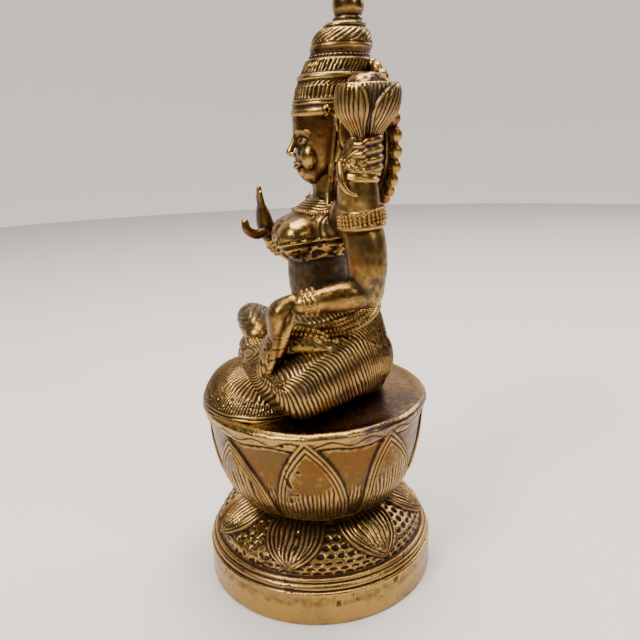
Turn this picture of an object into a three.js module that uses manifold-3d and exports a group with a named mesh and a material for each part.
import * as THREE from 'three';
import { mergeVertices } from 'three/addons/utils/BufferGeometryUtils.js';
import Module from 'manifold-3d';

// A four-armed goddess seated on a double lotus, cast in one piece in brass.
// Millimetres, +Z up. The figure looks along -Y and its own left side is +X.
// The origin is the centre of the flat underside.

const baseSides = 44;
const plinth = { radius: 42, height: 12, moulding: 41.3, ringRadius: 39.4, ringHeight: 16.2 };
const waist = { radius: 24, height: 29 };
const bowl = { radius: 37.2, height: 51, rimRadius: 40, rimHeight: 67 };
const seat = { radius: 35.5, edgeHeight: 68.4, height: 70.6 };
const lowerPetals = { count: 7, phase: -30, root: 29, tip: 17, halfAngle: 25, relief: 1.1 };
const upperPetals = { count: 8, phase: -16.5, root: 31, tip: 66.5, halfAngle: 27, relief: 0.9 };

const hip = { y: 9.8, z: 84, halfWidth: 22.5, halfDepth: 17.4 };
const knee = { x: 27, y: -11, z: 80, thick: 10 };
const elbow = { x: 25, y: 12.2, z: 109.2 };
const leftWrist = { x: 23.4, y: -9, z: 106.8 };
const rightWrist = { x: 22.6, y: -8.4, z: 121.4 };
const leftRaised = { x: 24, y: 10.4, thick: 6.4, fist: 152, budY: 13.9 };
const rightRaised = { x: 24, y: 14.2, thick: 5.3, fist: 152, budY: 16 };
const bud = { foot: 156, top: 172, halfWidth: 9.4, halfDepth: 10.2 };

const chin = 144;
const browBand = 167.4;
const bulb = { y: 13.7, z: 186, radius: 10.1, lean: 0.26 };
const finial = { y: 16, z: 197.7, radius: 5.1 };
const halo = { y: 23.1, z: 157.2, radius: 24.6, thick: 4, lobes: 24, notch: 1.1, lean: 3.1 };
const hub = { radius: 8, front: 14 };
const fan = { y: -20.4, z: 66, halfWidth: 23, reach: 19.4, rise: 16.6 };
const breast = { leftY: -6.4, rightY: -5, x: 7.2 };

const across = new THREE.Vector3(1, 0, 0);
const upward = new THREE.Vector3(0, 0, 1);
const degree = Math.PI / 180;

const wasm = await Module();
wasm.setup();

// Closed geometry to a solid that can be joined and cut.
function solid(geometry) {
  geometry.deleteAttribute('normal');
  geometry.deleteAttribute('uv');
  const merged = mergeVertices(geometry, 1e-4);
  const corners = [];
  const index = merged.index.array;
  for (let i = 0; i < index.length; i += 3) {
    const [a, b, c] = [index[i], index[i + 1], index[i + 2]];
    if (a !== b && b !== c && c !== a) corners.push(a, b, c);
  }
  return new wasm.Manifold(new wasm.Mesh({
    numProp: 3,
    vertProperties: Float32Array.from(merged.attributes.position.array),
    triVerts: Uint32Array.from(corners),
  }));
}

function geometryOf(manifold) {
  const mesh = manifold.getMesh();
  const geometry = new THREE.BufferGeometry();
  geometry.setAttribute('position', new THREE.BufferAttribute(mesh.vertProperties, 3));
  geometry.setIndex(new THREE.BufferAttribute(mesh.triVerts, 1));
  geometry.computeVertexNormals();
  return geometry;
}

function mirrored(path, side) {
  return path.map(([x, y, z]) => [side * x, y, z]);
}

// Stops along a limb: even steps, and four close ones for each raised band.
// A band is [its middle, half its length, its height], the first two as shares of the path.
function stopsAlong(steps, bands) {
  const stops = [];
  for (let i = 0; i <= steps; i += 1) {
    const t = i / steps;
    if (!bands.some(([middle, half]) => Math.abs(t - middle) <= half)) stops.push([t, 0]);
  }
  for (const [middle, half, height] of bands) {
    stops.push([middle - half, 0], [middle - half * 0.75, height]);
    stops.push([middle + half * 0.75, height], [middle + half, 0]);
  }
  return stops.sort((a, b) => a[0] - b[0]);
}

// An oval section carried along a smooth path, with a rounded cap past each end.
// A size is [half width along the reference direction, half width across it].
function limb(path, sizes, { sides = 8, steps = 5, reference = across, caps = 1, bands = [] } = {}) {
  const line = new THREE.CatmullRomCurve3(path.map((point) => new THREE.Vector3(...point)));
  const size = new THREE.CatmullRomCurve3(
    sizes.map(([a, b = a]) => new THREE.Vector3(a, b, 0)),
  );
  const rings = [];
  const addRing = (t, height, capAngle) => {
    const tangent = line.getTangent(t);
    const first = reference.clone().addScaledVector(tangent, -reference.dot(tangent)).normalize();
    const second = new THREE.Vector3().crossVectors(first, tangent);
    const half = size.getPoint(t);
    const past = Math.sin(capAngle * degree) * half.y * caps;
    rings.push({
      centre: line.getPoint(t).addScaledVector(tangent, past),
      first: first.multiplyScalar(half.x + height),
      second: second.multiplyScalar(half.y + height),
      scale: Math.abs(capAngle) === 90 ? 0 : Math.cos(capAngle * degree),
    });
  };
  for (const angle of [-90, -42]) addRing(0, 0, angle);
  for (const [t, height] of stopsAlong(steps, bands)) addRing(t, height, 0);
  for (const angle of [42, 90]) addRing(1, 0, angle);

  const profile = rings.map((ring, i) => new THREE.Vector2(ring.scale, i));
  const geometry = new THREE.LatheGeometry(profile, sides);
  const position = geometry.attributes.position;
  for (let i = 0; i < position.count; i += 1) {
    const ring = rings[Math.round(position.getY(i))];
    const point = ring.centre.clone();
    point.addScaledVector(ring.first, position.getX(i));
    point.addScaledVector(ring.second, position.getZ(i));
    position.setXYZ(i, point.x, point.y, point.z);
  }
  return solid(geometry);
}

function ball([x, y, z], [a, b, c], sides = 12, rows = 7) {
  const geometry = new THREE.SphereGeometry(1, sides, rows);
  geometry.rotateX(Math.PI / 2);
  geometry.scale(a, b, c);
  geometry.translate(x, y, z);
  return solid(geometry);
}

// Half width of a pointed petal, as a share of its widest, from its root at 0 to its tip at 1.
function petalWidth(along) {
  if (along <= 0 || along >= 1) return 0;
  return Math.min(1, 0.8 + 0.6 * along) * Math.sqrt(1 - along ** 2.4);
}

function petalRelief(petals, angle, z) {
  const along = (z - petals.root) / (petals.tip - petals.root);
  const spacing = 360 / petals.count;
  const offset = angle / degree - petals.phase;
  const fromMiddle = Math.abs(offset - spacing * Math.round(offset / spacing));
  const inside = petalWidth(along) * petals.halfAngle - fromMiddle;
  if (inside <= 0) return 0;
  return petals.relief * Math.min(1, 0.35 + inside / (petals.halfAngle * 0.35));
}

// The double lotus: a turned profile with both rows of petals raised on it.
function lotusBase() {
  const dome = new THREE.SplineCurve([
    new THREE.Vector2(plinth.ringRadius - 0.6, plinth.ringHeight + 0.8),
    new THREE.Vector2(plinth.radius * 0.885, 21),
    new THREE.Vector2(plinth.radius * 0.72, 25.8),
    new THREE.Vector2(waist.radius + 0.9, waist.height - 1),
  ]);
  const cup = new THREE.SplineCurve([
    new THREE.Vector2(waist.radius, waist.height + 1),
    new THREE.Vector2(bowl.radius * 0.8, 34),
    new THREE.Vector2(bowl.radius * 0.93, 41.5),
    new THREE.Vector2(bowl.radius, bowl.height),
    new THREE.Vector2(bowl.radius + 1.2, 60),
    new THREE.Vector2(bowl.rimRadius, bowl.rimHeight),
  ]);
  const profile = [
    new THREE.Vector2(0, 0),
    new THREE.Vector2(plinth.radius, 0),
    new THREE.Vector2(plinth.radius, plinth.height),
    new THREE.Vector2(plinth.moulding, plinth.height + 0.8),
    new THREE.Vector2(plinth.moulding, plinth.height + 2.2),
    new THREE.Vector2(plinth.ringRadius, plinth.ringHeight - 0.8),
    ...dome.getPoints(5),
    new THREE.Vector2(waist.radius, waist.height),
    ...cup.getPoints(8),
    new THREE.Vector2(bowl.rimRadius - 1, bowl.rimHeight + 1.6),
    new THREE.Vector2(seat.radius, seat.edgeHeight),
    new THREE.Vector2(seat.radius * 0.55, seat.height - 0.5),
    new THREE.Vector2(0, seat.height),
  ];
  const geometry = new THREE.LatheGeometry(profile, baseSides);
  geometry.rotateX(Math.PI / 2);
  const position = geometry.attributes.position;
  for (let i = 0; i < position.count; i += 1) {
    const [x, y, z] = [position.getX(i), position.getY(i), position.getZ(i)];
    const reach = Math.hypot(x, y);
    if (reach > waist.radius - 1 && z > plinth.ringHeight && z < bowl.rimHeight) {
      const petals = z < waist.height ? lowerPetals : upperPetals;
      const grow = 1 + petalRelief(petals, Math.atan2(y, x), z) / reach;
      position.setXY(i, x * grow, y * grow);
    }
  }
  return solid(geometry);
}

// Hips, waist and chest in one sweep, with the bead belt as a band above the hips.
function torso() {
  return limb(
    [[0, hip.y, 75], [0, hip.y, hip.z], [0, 9, 93], [0, 6.6, 100], [0, 3.6, 109], [0, 3.4, 116],
      [0, 4.6, 123], [0, 6.8, 129.5], [0, 8.2, 134]],
    [[21, 16.5], [hip.halfWidth, hip.halfDepth], [20.5, 15.8], [15.2, 12.6], [12.2, 11], [12.8, 10.8],
      [15, 11.3], [17, 10.2], [13.5, 6.6]],
    { sides: 15, steps: 11, caps: 0.4, bands: [[0.29, 0.045, 1]] },
  );
}

function bust(side, y) {
  return limb(
    mirrored([[5, 4.8, 130.6], [6.4, y + 3.4, 128.6], [breast.x, y, 126.2]], side),
    [[4.6, 4], [6.8, 6], [7.6, 7.3]],
    { sides: 10, steps: 3 },
  );
}

// Crossed legs: each thigh runs out to the knee, each shin comes back across the lap.
function leg(side) {
  const thigh = limb(
    mirrored([[11, 13, 82], [20, 1, 81], [knee.x, knee.y, knee.z]], side),
    [[12.5, 11.6], [11.3, 10.8], [knee.thick, knee.thick - 0.4]],
    { sides: 11, steps: 4, reference: upward },
  );
  const shin = limb(
    mirrored([[knee.x - 2, knee.y - 3, 79], [12, -19.4, 79.5], [-4, -20.4, 82.5], [-14, -18, 86.5]], side),
    [[8, 7], [7.4, 6.4], [6.4, 5.8], [4.6, 4.6]],
    { sides: 9, steps: 4, reference: upward },
  );
  return thigh.add(shin);
}

// Each foot lies on the other thigh.
function feet() {
  const rightFoot = limb(
    [[8, -15.5, 88.6], [15.4, -11.5, 90.4], [20.4, -6.5, 90.8], [22, -1, 90]],
    [[4.4, 5], [4.8, 5.4], [4.4, 5], [3, 4.2]],
    { steps: 4, reference: upward, bands: [[0.3, 0.08, 0.8]] },
  );
  const leftFoot = limb(
    [[-9, -18, 87.6], [-18, -19, 89.4], [-25, -18, 89.8], [-29, -12, 88.8]],
    [[4.4, 5], [5, 5.4], [5, 5.2], [3.4, 4.4]],
    { steps: 4, reference: upward },
  );
  return rightFoot.add(leftFoot);
}

// The pleats of the skirt spread over the front of the seat like an open fan.
function fanCloth() {
  const profile = [
    new THREE.Vector2(0, -0.1),
    new THREE.Vector2(1.05, -0.1),
    new THREE.Vector2(1.05, 0.16),
    new THREE.Vector2(0.97, 0.25),
  ];
  for (let angle = 27; angle < 90; angle += 12.6) {
    profile.push(new THREE.Vector2(Math.cos(angle * degree), Math.sin(angle * degree)));
  }
  profile.push(new THREE.Vector2(0, 1));
  const geometry = new THREE.LatheGeometry(profile, 18);
  geometry.rotateX(Math.PI / 2);
  geometry.scale(fan.halfWidth, fan.reach, fan.rise);
  geometry.translate(0, fan.y, fan.z);
  return solid(geometry);
}

function frontArm(side, wrist) {
  const upperArm = limb(
    mirrored([[17, 9, 133], [22.8, 11.8, 128], [25, 12.5, 118], [elbow.x, elbow.y, elbow.z]], side),
    [[6, 6], [6.3, 6.3], [5.9, 6], [5.4, 5.4]],
    { sides: 10, steps: 5, bands: [[0.24, 0.11, 0.7]] },
  );
  const forearm = limb(
    mirrored([[elbow.x, elbow.y - 0.8, elbow.z], [elbow.x, 4, (elbow.z * 2 + wrist.z) / 3],
      [(elbow.x + wrist.x) / 2, -3, (elbow.z + wrist.z * 2) / 3], [wrist.x, wrist.y, wrist.z]], side),
    [[5.5, 5.4], [5.2, 5.2], [4.4, 4.3], [3.5, 3.5]],
    { sides: 10, steps: 4, bands: [[0.86, 0.09, 0.8]] },
  );
  return upperArm.add(forearm);
}

// The rear pair of arms is raised; each fist holds the stem of an opening lotus.
function raisedArm(side, { x, y, thick, fist, budY }) {
  const shoulder = limb(
    mirrored([[13, 9.4, 131.6], [x - 3, y - 0.4, 132.4]], side),
    [[6, 6], [thick, thick]],
    { steps: 1, reference: upward },
  );
  const forearm = limb(
    mirrored([[x, y - 0.4, 133.6], [x + 0.2, y - 0.4, 140], [x, y, fist - 4]], side),
    [[thick, thick], [thick, thick + 0.2], [thick - 1.2, thick - 0.6]],
    { sides: 10, steps: 3, bands: [[0.84, 0.11, 0.7]] },
  );
  const hand = ball([side * x, y + 0.8, fist], [thick - 0.6, thick + 0.2, 5.8], 12, 8);
  const swell = [0.45, 0.63, 0.89, 1, 0.7];
  const stem = swell.map((_, row) => {
    const share = row / (swell.length - 1);
    return [x, y + (budY - y) * share, bud.foot + (bud.top - bud.foot) * share];
  });
  const bloom = limb(
    mirrored(stem, side),
    swell.map((share) => [bud.halfWidth * share, bud.halfDepth * share]),
    { sides: 12, steps: 6, caps: 0.25 },
  );
  return shoulder.add(forearm).add(hand).add(bloom);
}

// The lower left hand hangs open before the lap, the lower right hand is held up.
function leftHand() {
  return limb(
    [[22.8, -12, 106.8], [21.4, -16.2, 104.4], [20.4, -16.2, 96], [20, -18.4, 88.5], [19.6, -20, 84]],
    [[3.8, 3.6], [5, 3.3], [4.8, 2.7], [3.8, 2.1], [2.2, 1.6]],
    { sides: 8, steps: 6 },
  );
}

function rightHand() {
  const palm = limb(
    [[-22.4, -9.4, 122.6], [-22.2, -10.8, 127], [-22, -11.6, 133.5], [-22, -12.2, 139.4]],
    [[3.6, 3.2], [4.8, 2.5], [4.3, 1.9], [2.4, 1.3]],
    { sides: 8, steps: 4 },
  );
  const thumb = limb(
    [[-19, -11.6, 124.6], [-17.6, -17.4, 124.8], [-17.4, -19, 128.8]],
    [[2.2, 2.2], [2, 2], [1.5, 1.5]],
    { sides: 7, steps: 3 },
  );
  return palm.add(thumb);
}

function head() {
  const skull = limb(
    [[0, 5.4, chin + 3.2], [0, 6.4, chin + 8], [0, 7.6, chin + 14], [0, 8.2, browBand - 2]],
    [[6, 7.4], [8.7, 10.4], [9.7, 11.8], [9.8, 11.8]],
    { sides: 14, steps: 5, caps: 0.45 },
  );
  const neck = limb([[0, 8.6, 132], [0, 8.2, 147]], [[5.6, 5.6], [5.4, 5.4]], { steps: 1 });
  const nose = limb([[0, -3.2, 160], [0, -4.4, 154.5]], [[1, 1], [1.7, 1.5]], { sides: 7, steps: 1 });
  return skull.add(neck).add(nose);
}

function ear(side) {
  return limb(
    mirrored([[9.8, 6.6, 164], [11.6, 8.4, 158.5], [11.8, 9.8, 152.5]], side),
    [[1.8, 2.6], [2.2, 3.6], [2.4, 3]],
    { sides: 7, steps: 3 },
  );
}

// The tall crown leans back: a brow band, a fluted dome, an onion bulb, rings and a ball finial.
function crown() {
  const leaning = (z) => bulb.y + (z - bulb.z) * bulb.lean;
  const rows = [
    [browBand - 3, 8.3, 12], [browBand + 3, 9, 11.9], [browBand + 9, 10.8, 11.4],
    [browBand + 13, 12.4, 11.2], [browBand + 14.6, 13.4, 9.5], [bulb.z, bulb.y, bulb.radius],
    [bulb.z + 4.6, leaning(bulb.z + 3), 7], [bulb.z + 6.8, leaning(bulb.z + 6), 5.6],
    [bulb.z + 8, finial.y, 3.9], [finial.z - 2, finial.y, 3.6],
  ];
  const tower = limb(
    rows.map(([z, y]) => [0, y, z]),
    rows.map(([, , half]) => [half * 0.93, half]),
    { sides: 16, steps: 13, caps: 0.3, bands: [[0.1, 0.04, 0.9]] },
  );
  return tower.add(ball([0, finial.y, finial.z], [finial.radius, finial.radius, finial.radius]));
}

// The wheel behind the head, with a notched rim like a rope of petals.
function haloWheel() {
  const outline = [];
  for (let i = 0; i < halo.lobes * 2; i += 1) {
    const angle = (i / halo.lobes) * Math.PI;
    const reach = halo.radius - (i % 2) * halo.notch;
    outline.push(new THREE.Vector2(reach * Math.cos(angle), reach * Math.sin(angle)));
  }
  const wheel = new THREE.ExtrudeGeometry(new THREE.Shape(outline), {
    depth: halo.thick,
    bevelEnabled: false,
  });
  wheel.rotateX(Math.PI / 2);
  wheel.translate(0, halo.thick / 2, 0);
  wheel.rotateX(halo.lean * degree);
  wheel.translate(0, halo.y, halo.z);
  const boss = new THREE.CylinderGeometry(hub.radius, hub.radius, halo.y - hub.front, 12);
  boss.translate(0, (halo.y + hub.front) / 2, halo.z);
  return solid(wheel).add(solid(boss));
}

function hair() {
  return limb(
    [[0, 14, 160], [0, 15.2, 150], [0, 15, 140], [0, 13.8, 131]],
    [[8, 5.5], [8.4, 5], [8, 4.4], [5, 3]],
    { steps: 3 },
  );
}

const parts = [
  torso(), bust(1, breast.leftY), bust(-1, breast.rightY), feet(), fanCloth(),
  frontArm(1, leftWrist), frontArm(-1, rightWrist), leftHand(), rightHand(),
  raisedArm(1, leftRaised), raisedArm(-1, rightRaised), head(), crown(), hair(), haloWheel(),
];
for (const side of [1, -1]) parts.push(leg(side), ear(side));
const statue = parts.reduce((all, one) => all.add(one), lotusBase());

const brass = new THREE.MeshStandardMaterial({ color: 0x7d6233, roughness: 0.42, metalness: 1 });
const goddess = new THREE.Mesh(geometryOf(statue), brass);
goddess.name = 'goddess_on_lotus';

const group = new THREE.Group();
group.add(goddess);

export default group;
